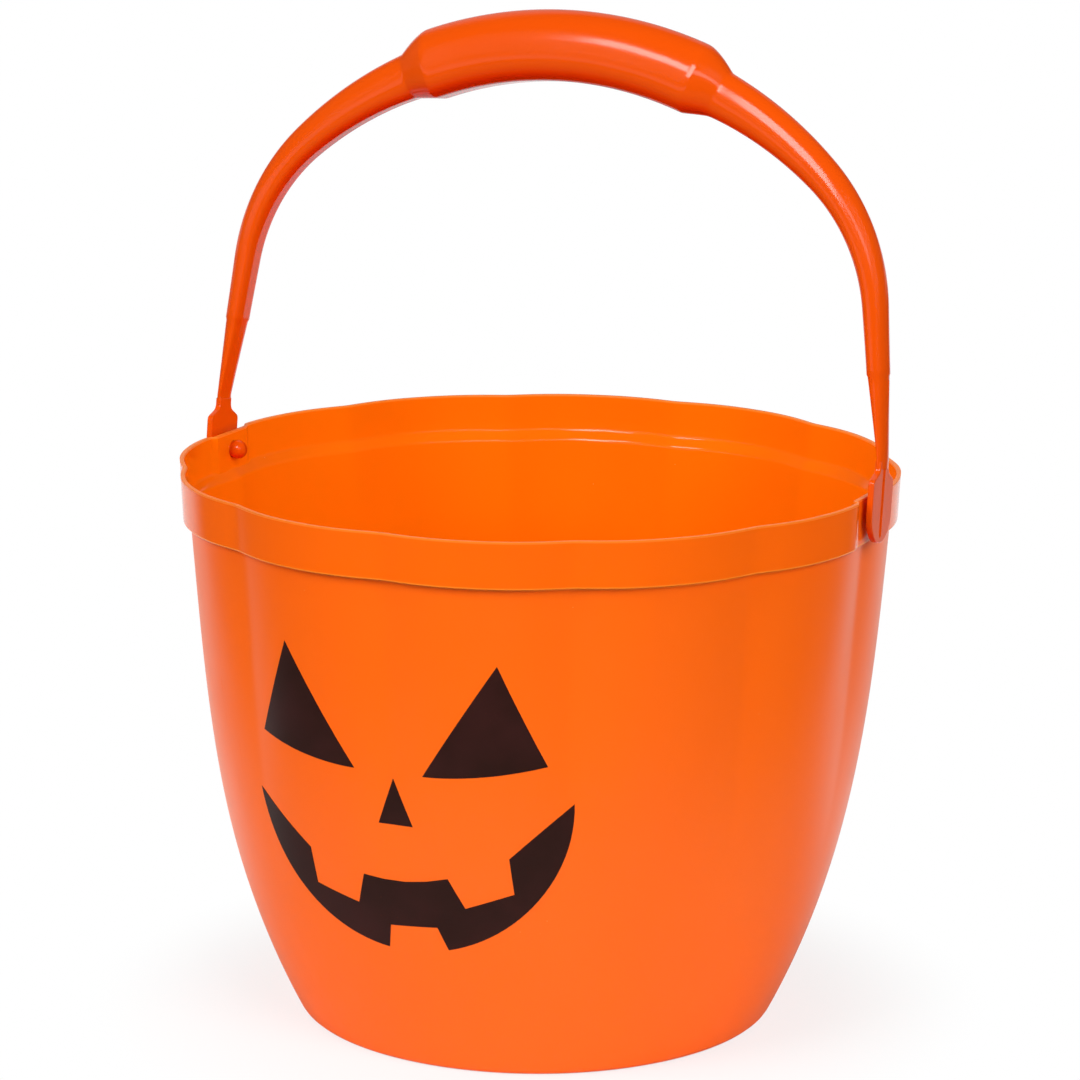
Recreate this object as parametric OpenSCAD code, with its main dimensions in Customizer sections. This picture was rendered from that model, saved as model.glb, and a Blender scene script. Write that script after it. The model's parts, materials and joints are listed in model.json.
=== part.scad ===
// Pumpkin candy pail: a lobed bucket with a printed jack-o'-lantern face and a
// carrying handle that swings on two snap pegs. The pail stands on its foot at
// z = 0, the face looks along -Y and the handle's hinge lies along X.

/* [Pail] */
// Height of the pail to the top of its rim
pail_h = 172; // [140:1:210]
// Diameter of the rim over its lobes
rim_d = 222; // [190:1:250]
// Diameter of the base, before its corner is rounded
base_d = 147; // [120:1:170]
// Height of the wider band under the rim
band_h = 14.1; // [13:0.1:20]
// How much further out the band stands than the wall below it
band_jog = 2.2; // [1.8:0.1:3]
// How much the band's radius grows from its lower edge to the rim
band_flare = 0.7; // [0:0.1:1.5]
// How much of the wall's spread is rounded and not straight
wall_bulge = 22.7; // [10:0.1:26]
// Thickness of the body's wall
wall_t = 1.6; // [1.2:0.1:2.4]
// Thickness of the band's wall
rim_t = 1.4; // [1:0.1:2]
// Thickness of the floor
floor_t = 2; // [1.4:0.1:4]
// Radius of the rounded corner round the base
base_corner = 2.5; // [2:0.5:8]

/* [Lobes] */
// Number of pumpkin lobes round the pail
lobes = 12; // [8:4:16]
// Depth of the valleys between the lobes at the rim
lobe_depth = 2.27; // [1:0.01:3]
// Height at which the lobes start to rise from the round base
lobe_start_z = 40; // [38:1:80]
// Height from which the lobes have their full depth
lobe_full_z = 150; // [110:1:155]

/* [Handle] */
// Height of the hinge below the rim
hinge_drop = 5.6; // [4.5:0.1:6]
// Height of the grip's middle above the hinge
arch_h = 132.5; // [110:0.1:160]
// Radius of the handle's crown
crown_r = 127; // [110:1:150]
// Radius of the bend between the crown and the legs
haunch_r = 62; // [50:1:80]
// How far the legs lean in towards the crown, in degrees
leg_lean = 7; // [5:0.5:12]
// How far the handle leans back from upright as it stands, in degrees
handle_lean = 8; // [0:1:20]
// Length of the thick grip, to the middle of its shoulders
grip_len = 98; // [80:1:110]
// Thickness of the grip, towards the crown's middle
grip_t = 22.2; // [18:0.1:28]
// Width of the grip
grip_w = 18; // [15:0.1:26]
// Thickness of an arm where it meets the grip
arm_top_t = 14.8; // [12:0.1:17]
// Width of an arm where it meets the grip
arm_top_w = 11; // [9.5:0.1:15]
// Thickness of an arm at the seam above its strap
arm_low_t = 6.5; // [5.5:0.1:9]
// Width of an arm at the seam above its strap
arm_low_w = 9.4; // [8.6:0.1:12]

/* [Hinge] */
// Width of the flat seat in the band behind each ear
seat_w = 23; // [20:0.5:26]
// How deep the seat is cut into the valley that it lies in
seat_cut = 0.45; // [0.2:0.05:0.8]
// Radius of the hole in the band
hole_r = 2.7; // [2.4:0.05:3.4]
// Running clearance round the peg's neck
neck_clearance = 0.1; // [0.05:0.01:0.15]
// How much wider than the hole the peg's ball end is, on the radius
head_grip = 0.3; // [0.2:0.05:0.6]
// Width of the slot that splits the ball end
slot_w = 1; // [0.6:0.1:1.6]
// Radius of the ear's rounded lower end
ear_r = 8.5; // [7:0.1:9]
// Thickness of the ear
ear_t = 1.9; // [1.5:0.1:2.4]
// Width of the strap that rises from the ear
strap_w = 7; // [5:0.1:8]
// Gap between the ear and the widest reach of the rim beside it
ear_gap = 0.6; // [0.5:0.05:1]

/* [Face] */
// Thickness of the print
print_t = 0.3; // [0.1:0.05:0.6]
// Height of the eyes' lower inner corners
eye_z = 99.4; // [92:0.1:104]
// Width of an eye
eye_w = 35.3; // [28:0.1:38]
// Height of an eye
eye_h = 35.2; // [28:0.1:38]
// Distance between the eyes' inner corners
eye_space = 22; // [16:0.1:30]
// Height of the nose's lower edge
nose_z = 83.2; // [80:0.1:86]
// Width of the nose
nose_w = 11; // [8:0.1:16]
// Height of the nose
nose_h = 14.4; // [10:0.1:15]
// Height of the mouth's corners
mouth_z = 88.7; // [82:0.1:92]
// Radius of the mouth's lower edge
mouth_r = 51.6; // [44:0.1:54]
// How far the mouth is turned, in degrees
mouth_turn = 4.2; // [0:0.1:6]

/* [Hidden] */
over = 1;
lobe_sides = 8;
ring_sides = lobes * lobe_sides;
valley_power_share = 1.3;
bulge_power_share = 3.08;

// The pail's levels and radii
band_z = pail_h - band_h;
rim_r = rim_d / 2;
band_r = rim_r - band_flare;
body_top_r = band_r - band_jog;
base_r = base_d / 2;
wall_draft = body_top_r - base_r - wall_bulge;
lip = rim_t * 0.28;
ledge_drop = wall_t * 0.3;
ledge_rise = wall_t * 1.5;
foot_w = base_corner * 1.6;
foot_recess = wall_t * 0.75;
floor_z = foot_recess + floor_t;
body_steps = 10;
foot_steps = 7;
corner_steps = 5;

// The round foot reaches up to join_z, and the lobed wall is set into its top
join_z = lobe_start_z - base_corner;
join_tuck = wall_t * 1.25;
join_inset = wall_t / 8;
join_rise = base_corner * 1.5;

// The hinge and what sits on it
hinge_z = pail_h - hinge_drop;
neck_r = hole_r - neck_clearance;
head_r = hole_r + head_grip;
hinge_band_r = band_r + band_flare * (hinge_z - band_z) / band_h;
seat_x = hinge_band_r - lobe_depth - seat_cut;
seat_in_x = seat_x - rim_t;
rim_reach = max([for (a = [0 : 180 / lobes / 30 : 180 / lobes]) hinge_reach(a)]);
ear_x = rim_reach + ear_gap;
ear_mid_x = ear_x + ear_t / 2;
head_x = seat_in_x - head_r * 0.6;
slot_end_x = seat_in_x - neck_clearance;
ear_top = ear_r * 1.2;
ear_slope = strap_w * 0.35;
stub_top = ear_r * 1.88;
rib_w = ear_t * 0.55;
rib_h = ear_t * 0.3;

// The handle's centre line: a leaning leg, a haunch and a crown, each tangent to the next
leg_start = ear_r * 2;
crown_mid = arch_h - crown_r;
leg_offset = ear_mid_x * cos(leg_lean) + leg_start * sin(leg_lean);
bend_gap = crown_r - haunch_r;
crown_sweep = asin((leg_offset - haunch_r - crown_mid * sin(leg_lean)) / bend_gap) - leg_lean;
haunch_sweep = 90 - crown_sweep - leg_lean;
haunch_mid = [bend_gap * sin(crown_sweep), crown_mid + bend_gap * cos(crown_sweep)];
leg_end = haunch_mid + haunch_r * [cos(leg_lean), sin(leg_lean)];
leg_len = (leg_end[1] - leg_start) / cos(leg_lean);
haunch_len = haunch_r * PI / 180 * haunch_sweep;
crown_len = crown_r * PI / 180 * crown_sweep;
half_len = leg_len + haunch_len + crown_len;
strap_len = ear_r * 2.9;
seam_len = ear_t * 0.4;
shoulder_len = (grip_t - arm_top_t) * 1.28;
inner_shoulder_len = shoulder_len * 0.85;
arm_drop = arm_top_t * 0.06;
shoulder_start = half_len - (grip_len + shoulder_len) / 2;
strap_top_t = arm_low_t * 0.93;
strap_top_w = arm_low_w * 0.94;
strap_low_t = ear_t * 0.96;
strap_low_out = ear_t * 1.6;
strap_low_w = strap_w * 1.08;
outer_share = 0.62;
inner_power_share = 0.8;
flat_share = 0.95;
taper_power_share = 1.25;
section_sides = 24;
strap_steps = 4;
arm_steps = 16;
shoulder_steps = 4;
grip_steps = 6;

// The face's outlines, as half outlines beside their own middle line
print_gap = 0.02;
eyes_mid = -0.8;
nose_mid = 0.6;
mouth_mid = 0.4;
eye_rise = eye_h * 0.136;
eye_peak_share = 0.66;
eye_bow = eye_h * 0.03;
tooth_top = mouth_r * 0.307;
tooth_low = mouth_r * 0.528;
tooth_tip = mouth_r * 0.613;
tooth_back = mouth_r * 0.427;
mid_dip = mouth_r * 0.457;
chip_top = mouth_r * 0.738;
tooth_out = mouth_r * 0.628;
tooth_in = mouth_r * 0.335;
tooth_root = mouth_r * 0.264;
chip_out = mouth_r * 0.186;
chip_in = mouth_r * 0.147;
mouth_lift = mouth_r * 0.1;
arc_steps = 10;

// 0 below the range, 1 above it and a smooth rise between
function ramp(u) = let (c = min(1, max(0, u))) c * c * (3 - 2 * c);

// How deep the lobes are at a height, as a share of their full depth
function lobe_share(z) = ramp((z - lobe_start_z) / (lobe_full_z - lobe_start_z));

// How far into a valley an angle lies: 1 at its bottom, 0 on a crest
function valley_share(a) = pow(1 - abs(sin(lobes / 2 * a)), valley_power_share);

// The wall's outer radius on a crest
function wall_r(z) = let (u = min(1, z / band_z))
    base_r + wall_draft * u + wall_bulge * (1 - pow(1 - u, bulge_power_share));

// How far along X the rim reaches at an angle from the hinge, at the hinge's height
function hinge_reach(a) = (hinge_band_r - lobe_depth * valley_share(a)) * cos(a);

// Heights of the rings on the lobed wall
function ring_z(i) = join_z + join_rise + (band_z - join_z - join_rise) * i / body_steps;

// Rings are [crest radius, height, share of the lobe depth]
outer_rings = concat(
    [[wall_r(join_z - join_tuck) - join_inset, join_z - join_tuck, 0]],
    [for (i = [0 : body_steps]) [wall_r(ring_z(i)), ring_z(i), lobe_share(ring_z(i))]]
);
band_rings = [
    [band_r, band_z, 1],
    [rim_r, pail_h - lip, 1],
    [rim_r - lip, pail_h, 1],
    [rim_r - rim_t + lip, pail_h, 1],
    [rim_r - rim_t, pail_h - lip, 1],
    [band_r - rim_t, band_z + ledge_rise, 1],
    [body_top_r - wall_t, band_z - ledge_drop, 1]
];
inner_rings = concat(
    [for (i = [body_steps - 1 : -1 : 0]) [wall_r(ring_z(i)) - wall_t, ring_z(i), lobe_share(ring_z(i))]],
    [[wall_r(join_z - join_tuck) - wall_t + join_inset, join_z - join_tuck, 0]]
);

function ring_point(ring, a, out = 0) =
    let (r = ring[0] - lobe_depth * ring[2] * valley_share(a) + out) [r * cos(a), r * sin(a), ring[1]];

// A closed band of rings round the pail
module ring_loop(rings) {
    n = len(rings);
    m = ring_sides;
    points = [for (ring = rings, k = [0 : m - 1]) ring_point(ring, 360 * k / m)];
    faces = [for (i = [0 : n - 1], k = [0 : m - 1], half = [0, 1])
        let (a = i * m + k, b = i * m + (k + 1) % m)
        let (c = (i + 1) % n * m + (k + 1) % m, d = (i + 1) % n * m + k)
        half == 0 ? [a, c, b] : [a, d, c]];
    polyhedron(points, faces);
}

// The outline of the round foot and the lower wall, from the middle out and back
module foot_outline() {
    foot_in = base_r - base_corner - foot_w;
    in_corner = base_corner - wall_t;
    function out_r(z) = wall_r(z) - base_corner + sqrt(pow(base_corner, 2) - pow(max(0, base_corner - z), 2));
    function in_r(z) = let (d = max(0, floor_z + in_corner - z))
        wall_r(z) - wall_t - in_corner + sqrt(pow(in_corner, 2) - pow(min(in_corner, d), 2));
    corner = [for (i = [0 : corner_steps]) base_corner * (1 - cos(90 * i / corner_steps))];
    side = [for (i = [1 : foot_steps]) base_corner + (join_z - base_corner) * i / foot_steps];
    in_side = [for (i = [foot_steps : -1 : 1])
        floor_z + in_corner + (join_z - floor_z - in_corner) * i / foot_steps];
    in_corner_z = [for (i = [corner_steps : -1 : 0]) floor_z + in_corner * (1 - cos(90 * i / corner_steps))];
    polygon(concat(
        [[0, foot_recess], [foot_in, foot_recess], [foot_in, 0]],
        [for (z = concat(corner, side)) [out_r(z), z]],
        [for (z = concat(in_side, in_corner_z)) [in_r(z), z]],
        [[0, floor_z]]
    ));
}

// A block from one X to another, evenly about Y = 0, between two heights
module block(x0, x1, w, z0, z1) {
    translate([x0, -w / 2, z0]) cube([x1 - x0, w, z1 - z0]);
}

// The one-piece pail, with a flat seat and a hole for each end of the handle
module pail_shell() {
    color("#ff7a1a") difference() {
        union() {
            rotate_extrude($fn = ring_sides) foot_outline();
            ring_loop(concat(outer_rings, band_rings, inner_rings));
            for (side = [0, 1]) mirror([side, 0, 0])
                block(seat_in_x, seat_x + seat_cut, seat_w + 2 * rim_t, band_z, pail_h - lip / 2);
        }
        for (side = [0, 1]) mirror([side, 0, 0])
            block(seat_x, rim_r + over, seat_w, band_z, pail_h + over);
        translate([-rim_r - over, 0, hinge_z]) rotate([0, 90, 0])
            cylinder(r = hole_r, h = rim_d + 2 * over, $fn = 48);
    }
}

// A thin skin over the front of the wall, on the wall's own rings
module front_skin() {
    m = ring_sides;
    span = round(m / 9);
    first = round(m * 0.75) - span;
    n = len(outer_rings);
    w = 2 * span + 1;
    points = [for (out = [print_gap, print_gap + print_t], ring = outer_rings, k = [0 : w - 1])
        ring_point(ring, 360 * (first + k) / m, out)];
    function at(layer, i, k) = layer * n * w + i * w + k;
    skins = [for (layer = [0, 1], i = [0 : n - 2], k = [0 : w - 2], half = [0, 1])
        let (a = at(layer, i, k), b = at(layer, i, k + 1), c = at(layer, i + 1, k + 1))
        let (d = at(layer, i + 1, k), f = half == 0 ? [a, c, b] : [a, d, c])
        layer == 1 ? f : [f[2], f[1], f[0]]];
    level_edges = [for (i = [0, n - 1], k = [0 : w - 2])
        let (f = [at(0, i, k), at(0, i, k + 1), at(1, i, k + 1), at(1, i, k)])
        i == 0 ? [f[3], f[2], f[1], f[0]] : f];
    side_edges = [for (k = [0, w - 1], i = [0 : n - 2])
        let (f = [at(0, i, k), at(1, i, k), at(1, i + 1, k), at(0, i + 1, k)])
        k == 0 ? [f[3], f[2], f[1], f[0]] : f];
    polyhedron(points, concat(skins, level_edges, side_edges));
}

// Cuts a front-view outline out of the skin
module printed() {
    intersection() {
        front_skin();
        translate([0, -body_top_r / 2, 0]) rotate([90, 0, 0]) linear_extrude(body_top_r) children();
    }
}

// One eye: a triangle with a lower edge that bows down a little
module eye_outline(side) {
    inner = eye_space / 2;
    bow = [for (i = [0 : arc_steps])
        let (u = i / arc_steps) [inner + eye_w * u, eye_rise * u - 4 * eye_bow * u * (1 - u)]];
    outline = concat(bow, [[inner + eye_w * eye_peak_share, eye_h]]);
    translate([eyes_mid, eye_z]) polygon([for (p = outline) [side * p[0], p[1]]]);
}

module left_eye() {
    color("#2a1410") printed() eye_outline(-1);
}

module right_eye() {
    color("#2a1410") printed() eye_outline(1);
}

module nose() {
    color("#2a1410") printed() translate([nose_mid, nose_z])
        polygon([[-nose_w / 2, 0], [nose_w / 2, 0], [0, nose_h]]);
}

// The grin, with two teeth in the upper edge and one in the lower
module mouth_outline() {
    arc_mid = mouth_lift;
    tip_a = -asin(mouth_lift / mouth_r);
    chip_a = -acos(chip_out / mouth_r);
    lower = [for (i = [0 : arc_steps])
        let (a = tip_a + (chip_a - tip_a) * i / arc_steps) [mouth_r * cos(a), arc_mid + mouth_r * sin(a)]];
    upper = [
        [0, -mid_dip], [tooth_root * 0.5, -mid_dip + (mid_dip - tooth_back) * 0.3], [tooth_root, -tooth_back],
        [tooth_in, -tooth_tip], [tooth_out - tooth_in * 0.02, -tooth_low], [tooth_out, -tooth_top]
    ];
    half = concat(upper, lower, [[chip_in, -chip_top]]);
    polygon(concat(half, [for (i = [len(half) - 1 : -1 : 1]) [-half[i][0], half[i][1]]]));
}

module mouth() {
    color("#2a1410") printed() translate([mouth_mid, mouth_z]) rotate(mouth_turn) mouth_outline();
}

// Outward direction of the centre line, as an angle from X, at a length from the leg's start
function normal_at(s) =
    s <= 0 ? 0 :
    s <= leg_len ? leg_lean :
    s <= leg_len + haunch_len ? leg_lean + (s - leg_len) / haunch_r * 180 / PI :
    90 - crown_sweep + (s - leg_len - haunch_len) / crown_r * 180 / PI;

function point_at(s) = let (a = normal_at(s))
    s <= 0 ? [ear_mid_x, leg_start + s] :
    s <= leg_len ? [ear_mid_x, leg_start] + s * [-sin(leg_lean), cos(leg_lean)] :
    s <= leg_len + haunch_len ? haunch_mid + haunch_r * [cos(a), sin(a)] :
    [crown_r * cos(a), crown_mid + crown_r * sin(a)];

// [thickness outside, width, thickness inside] of the section
function size_at(s) =
    s <= strap_len ? let (u = max(0, s) / strap_len)
        [strap_low_out + (strap_top_t - strap_low_out) * u, strap_low_w + (strap_top_w - strap_low_w) * u,
            strap_low_t + (strap_top_t - strap_low_t) * u] :
    s <= shoulder_start ? let (u = pow((s - strap_len) / (shoulder_start - strap_len), taper_power_share),
        t = arm_low_t + (arm_top_t - arm_low_t) * u, drop = 2 * arm_drop * pow(u, 3))
        [t - drop, arm_low_w + (arm_top_w - arm_low_w) * u, t + drop] :
    let (straight = min(1, (s - shoulder_start) / shoulder_len), u = (straight + sin(90 * straight)) / 2,
        v = min(1, (s - shoulder_start) / inner_shoulder_len))
        [(arm_top_t - 2 * arm_drop) * (1 - u) + grip_t * u, arm_top_w + (grip_w - arm_top_w) * (u + v) / 2,
            (arm_top_t + 2 * arm_drop) * (1 - v) + grip_t * v];

// A section's outline: an oval with a narrow flat inside
function section(size) = [for (k = [0 : section_sides - 1])
    let (a = 360 * (k + 0.5) / section_sides, c = cos(a), s = sin(a), p = inner_power_share)
    let (mid = size[0] * (0.5 - outer_share))
    c > 0 ? [mid + size[0] * outer_share * c, size[1] / 2 * s] :
    [mid - (size[2] / 2 + mid) * min(flat_share, pow(-c, p)), size[1] / 2 * sign(s) * pow(abs(s), p)]];

strap_stations = [for (i = [0 : strap_steps]) (strap_len - seam_len) * i / strap_steps];
arm_stations = [for (i = [0 : arm_steps])
    strap_len + ear_t / 10 + (shoulder_start - strap_len) * i / arm_steps];
shoulder_stations = [for (i = [1 : shoulder_steps]) shoulder_start + shoulder_len * i / shoulder_steps];
grip_stations = [for (i = [1 : grip_steps])
    shoulder_start + shoulder_len + (half_len - shoulder_start - shoulder_len) * i / grip_steps];
stations = concat([leg_start * -0.2], strap_stations, arm_stations, shoulder_stations, grip_stations);

function station_points(s, side) = let (p = point_at(s), a = normal_at(s))
    [for (q = section(size_at(s))) [side * (p[0] + q[0] * cos(a)), q[1], p[1] + q[0] * sin(a)]];

// The strap, arms and grip from ear to ear
module arch() {
    last = len(stations) - 1;
    w = section_sides;
    rows = concat([for (i = [0 : last]) station_points(stations[i], 1)],
        [for (i = [last - 1 : -1 : 0]) station_points(stations[i], -1)]);
    n = len(rows);
    sides = [for (i = [0 : n - 2], k = [0 : w - 1], half = [0, 1])
        let (a = i * w + k, b = i * w + (k + 1) % w, c = (i + 1) * w + (k + 1) % w, d = (i + 1) * w + k)
        half == 0 ? [a, c, b] : [a, d, c]];
    ends = [[for (k = [0 : w - 1]) k], [for (k = [w - 1 : -1 : 0]) (n - 1) * w + k]];
    polyhedron([for (row = rows) each row], concat(sides, ends));
}

// The flat ear outside the rim, with the strap's lower end
module ear() {
    translate([ear_x, 0, 0]) rotate([90, 0, 90]) linear_extrude(ear_t) {
        circle(r = ear_r, $fn = 64);
        polygon([
            [-ear_r, 0], [ear_r, 0], [ear_r, ear_top], [strap_w / 2, ear_top + ear_slope],
            [strap_w / 2, stub_top], [-strap_w / 2, stub_top], [-strap_w / 2, ear_top + ear_slope],
            [-ear_r, ear_top]
        ]);
    }
}

// The rib that stiffens the ear and the strap
module rib() {
    face_x = ear_x + ear_t;
    end_s = strap_len * 0.92;
    end_mid = point_at(end_s);
    end_out = end_mid + (size_at(end_s)[0] / 2 + rib_h / 2) * [cos(leg_lean), sin(leg_lean)];
    rotate([90, 0, 0]) linear_extrude(rib_w, center = true) polygon([
        [ear_mid_x, -ear_r * 0.85], [face_x, -ear_r * 0.85], [face_x + rib_h, -ear_r * 0.72],
        [face_x + rib_h, leg_start], end_out, end_mid, [ear_mid_x, leg_start]
    ]);
}

// The split snap peg that holds the ear to the band
module peg() {
    difference() {
        union() {
            translate([head_x, 0, 0]) rotate([0, 90, 0])
                cylinder(r = neck_r, h = ear_mid_x - head_x, $fn = 48);
            translate([head_x, 0, 0]) sphere(r = head_r, $fn = 48);
        }
        translate([head_x - head_r - over, -slot_w / 2, -head_r - over])
            cube([slot_end_x - head_x + head_r + over, slot_w, 2 * (head_r + over)]);
    }
}

// The one-piece handle, leaning back as it stands
module handle() {
    color("#f4650c") translate([0, 0, hinge_z]) rotate([-handle_lean, 0, 0]) {
        arch();
        for (side = [0, 1]) mirror([side, 0, 0]) {
            ear();
            rib();
            peg();
        }
    }
}

pail_shell();
left_eye();
right_eye();
nose();
mouth();
handle();
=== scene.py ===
import json
import math
import bmesh
import bpy
import numpy as np
from mathutils import Matrix, Vector


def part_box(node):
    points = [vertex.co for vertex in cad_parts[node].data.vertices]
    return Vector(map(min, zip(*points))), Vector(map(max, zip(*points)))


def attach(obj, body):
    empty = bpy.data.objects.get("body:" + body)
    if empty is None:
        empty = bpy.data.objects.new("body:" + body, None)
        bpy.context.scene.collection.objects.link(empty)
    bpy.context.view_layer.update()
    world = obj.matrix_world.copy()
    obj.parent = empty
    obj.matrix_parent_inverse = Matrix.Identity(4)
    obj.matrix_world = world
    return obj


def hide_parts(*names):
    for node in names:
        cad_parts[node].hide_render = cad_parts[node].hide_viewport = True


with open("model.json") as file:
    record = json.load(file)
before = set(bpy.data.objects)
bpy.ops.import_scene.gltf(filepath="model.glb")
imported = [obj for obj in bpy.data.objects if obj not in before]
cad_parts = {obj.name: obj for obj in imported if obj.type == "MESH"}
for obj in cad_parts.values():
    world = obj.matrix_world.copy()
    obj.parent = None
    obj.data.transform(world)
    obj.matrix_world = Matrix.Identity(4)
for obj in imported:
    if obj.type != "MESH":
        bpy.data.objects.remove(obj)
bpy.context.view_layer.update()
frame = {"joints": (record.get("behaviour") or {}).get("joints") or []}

# The camera
# It stands to the right of the face, about 1.3 m away, and looks down a little on the rim.
MM = 0.001
camera_place = Vector((520.4, -1138.1, 434.9)) * MM
camera_turn = math.radians(24.544)
camera_dip = math.radians(12.937)
camera_roll = math.radians(0.321)
camera_lens = 138.9
camera_sensor = 36

camera_data = bpy.data.cameras.new("camera")
camera_data.lens = camera_lens
camera_data.sensor_width = camera_sensor
camera = bpy.data.objects.new("camera", camera_data)
camera.matrix_world = (
    Matrix.Translation(camera_place)
    @ Matrix.Rotation(camera_turn, 4, "Z")
    @ Matrix.Rotation(math.pi / 2 - camera_dip, 4, "X")
    @ Matrix.Rotation(camera_roll, 4, "Z")
)
scene = bpy.context.scene
scene.collection.objects.link(camera)
scene.camera = camera
scene.view_settings.view_transform = "Standard"

# The studio
# A pale table top in a white room that is dark behind the camera. Two soft lamps give the light,
# and four narrow ones, which only show in glossy surfaces, give the streaks on the plastic.
floor_size = 30
floor_seen = (0.9, 0.9, 0.9, 1)
floor_far = (0.1, 0.1, 0.1, 1)
table_edge = (0.22, 0.34)
table_dim = 0.6
floor_dim = 0.1
floor_white = 0.72
white_edge = (0.08, 0.145)
backdrop_steep, backdrop_steep_start = 1.06, 0.35
backdrop_flat, backdrop_flat_start = 0.8, 0.2
backdrop_edge = (-0.05, 0.15)
white_light = (1, 1, 1, 1)
room_back = 1.0
room_front = 0.12
room_turn = (-0.25, 0.35)
room_top = (0.3, 0.7)
mirror_front = 0.04
mirror_turn = 0.35
mirror_dim = 0.45
mirror_dim_height = (0.1, 0.35)
mirror_top = (0.78, 0.9)
mirror_side = (0.35, 0.6)
mirror_side_height = (0.0, 0.15)
# Each streak lamp has two ends, a width and a brightness.
streaks = (
    (Vector((-0.40, -0.80, 0.97)), Vector((-0.12, -0.88, 0.94)), 0.2, 13.0),
    (Vector((-0.08, -0.89, 0.93)), Vector((0.20, -0.96, 0.82)), 0.48, 13.0),
    (Vector((0.20, -0.96, 0.82)), Vector((0.72, -0.78, 0.66)), 0.14, 4.5),
    (Vector((-1.05, -0.55, 0.44)), Vector((0.20, -1.15, 0.26)), 0.13, 0.8),
)
lamp_places = (Vector((-0.95, -1.7, 1.3)), Vector((1.6, -1.1, 1.15)))
lamp_size = 1.3
lamp_level = 7.3
lamp_aim = Vector((0, 0, 170)) * MM


class Value:
    """A socket of a shader; a sum on it adds Math nodes to the shader."""

    def __init__(self, shader, socket):
        self.shader = shader
        self.socket = socket

    def __add__(self, other):
        return self.shader.math("ADD", self, other)

    def __sub__(self, other):
        return self.shader.math("SUBTRACT", self, other)

    def __rsub__(self, other):
        return self.shader.math("SUBTRACT", other, self)

    def __mul__(self, other):
        return self.shader.math("MULTIPLY", self, other)

    __radd__ = __add__
    __rmul__ = __mul__


class Shader:
    """The node tree of a material or of the world."""

    def __init__(self, owner):
        owner.use_nodes = True
        self.owner = owner
        self.tree = owner.node_tree
        self.tree.nodes.clear()

    def add(self, kind, settings=None, inputs=None, out=0):
        """A node with its settings and the values or links of its sockets; gives its output out."""
        node = self.tree.nodes.new(kind)
        for name, value in (settings or {}).items():
            setattr(node, name, value)
        for where, value in (inputs or {}).items():
            if isinstance(value, Value):
                self.tree.links.new(value.socket, node.inputs[where])
            else:
                node.inputs[where].default_value = value
        return Value(self, node.outputs[out]) if node.outputs else None

    def math(self, operation, a, b=0.0):
        return self.add("ShaderNodeMath", {"operation": operation}, {0: a, 1: b})

    def dot(self, a, b):
        return self.add("ShaderNodeVectorMath", {"operation": "DOT_PRODUCT"}, {0: a, 1: b}, "Value")

    def height(self, place):
        return self.add("ShaderNodeSeparateXYZ", inputs={0: place}, out="Z")

    def ramp(self, value, low, high):
        """0 below low, 1 above high and a smooth rise between."""
        return self.add(
            "ShaderNodeMapRange",
            {"interpolation_type": "SMOOTHSTEP"},
            {"Value": value, "From Min": low, "From Max": high},
        )

    def mix(self, share, a, b):
        """Colour a turned into colour b by a share; 6, 7 and 2 are the node's colour sockets."""
        return self.add("ShaderNodeMix", {"data_type": "RGBA"}, {"Factor": share, 6: a, 7: b}, 2)


def flat_mesh(name, points, faces):
    mesh = bpy.data.meshes.new(name)
    mesh.from_pydata([tuple(p) for p in points], [], faces)
    mesh.update()
    piece = bpy.data.objects.new(name, mesh)
    scene.collection.objects.link(piece)
    return piece


def softbox(name, place, width, height, brightness):
    """A flat lamp, aimed at the pail, whose face shines at a brightness where 1 is white."""
    light = bpy.data.lights.new(name, "AREA")
    light.shape = "RECTANGLE"
    light.size = width
    light.size_y = height
    light.energy = brightness * math.pi * width * height
    lamp = bpy.data.objects.new(name, light)
    scene.collection.objects.link(lamp)
    facing = (lamp_aim - place).to_track_quat("-Z", "Y").to_matrix().to_4x4()
    lamp.matrix_world = Matrix.Translation(place) @ facing
    return lamp


away = Vector((-math.sin(camera_turn), math.cos(camera_turn), 0.0))
sideways = Vector((math.cos(camera_turn), math.sin(camera_turn), 0.0))
half_floor = floor_size / 2
floor = flat_mesh(
    "floor",
    [(x * half_floor, y * half_floor, 0) for x, y in ((-1, -1), (1, -1), (1, 1), (-1, 1))],
    [(0, 1, 2, 3)],
)

floor_shader = Shader(bpy.data.materials.new("floor_white"))
seen = floor_shader.add("ShaderNodeLightPath", out="Is Camera Ray")
mirrored = floor_shader.add("ShaderNodeLightPath", out="Is Glossy Ray")
mirrored = mirrored + floor_shader.add("ShaderNodeLightPath", out="Is Transmission Ray")
floor_place = floor_shader.add("ShaderNodeTexCoord", out="Object")
floor_behind = floor_shader.dot(floor_place, away)
floor_reach = floor_shader.add(
    "ShaderNodeVectorMath", {"operation": "LENGTH"}, {0: floor_place}, "Value"
)
backdrop_start = floor_shader.math(
    "MINIMUM",
    floor_reach * backdrop_steep - backdrop_steep_start,
    floor_reach * backdrop_flat - backdrop_flat_start,
)
backdrop_start = floor_shader.math("MAXIMUM", backdrop_start, 0.0)
backdrop = floor_shader.ramp(floor_behind - backdrop_start, *backdrop_edge)
table = 1 - floor_shader.ramp(floor_reach, *table_edge)
table_lit = table * (1 - mirrored * table_dim) - mirrored * floor_dim
floor_colour = floor_shader.mix(floor_shader.math("MAXIMUM", seen, table_lit), floor_far, floor_seen)
lit = floor_shader.add("ShaderNodeBsdfDiffuse", inputs={"Color": floor_colour})
glow = floor_shader.add("ShaderNodeEmission", inputs={"Color": white_light, "Strength": 1.0})
far_white = floor_shader.ramp(floor_reach, *white_edge) * (1 - floor_white) + floor_white
white = seen * far_white + mirrored * backdrop
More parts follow.
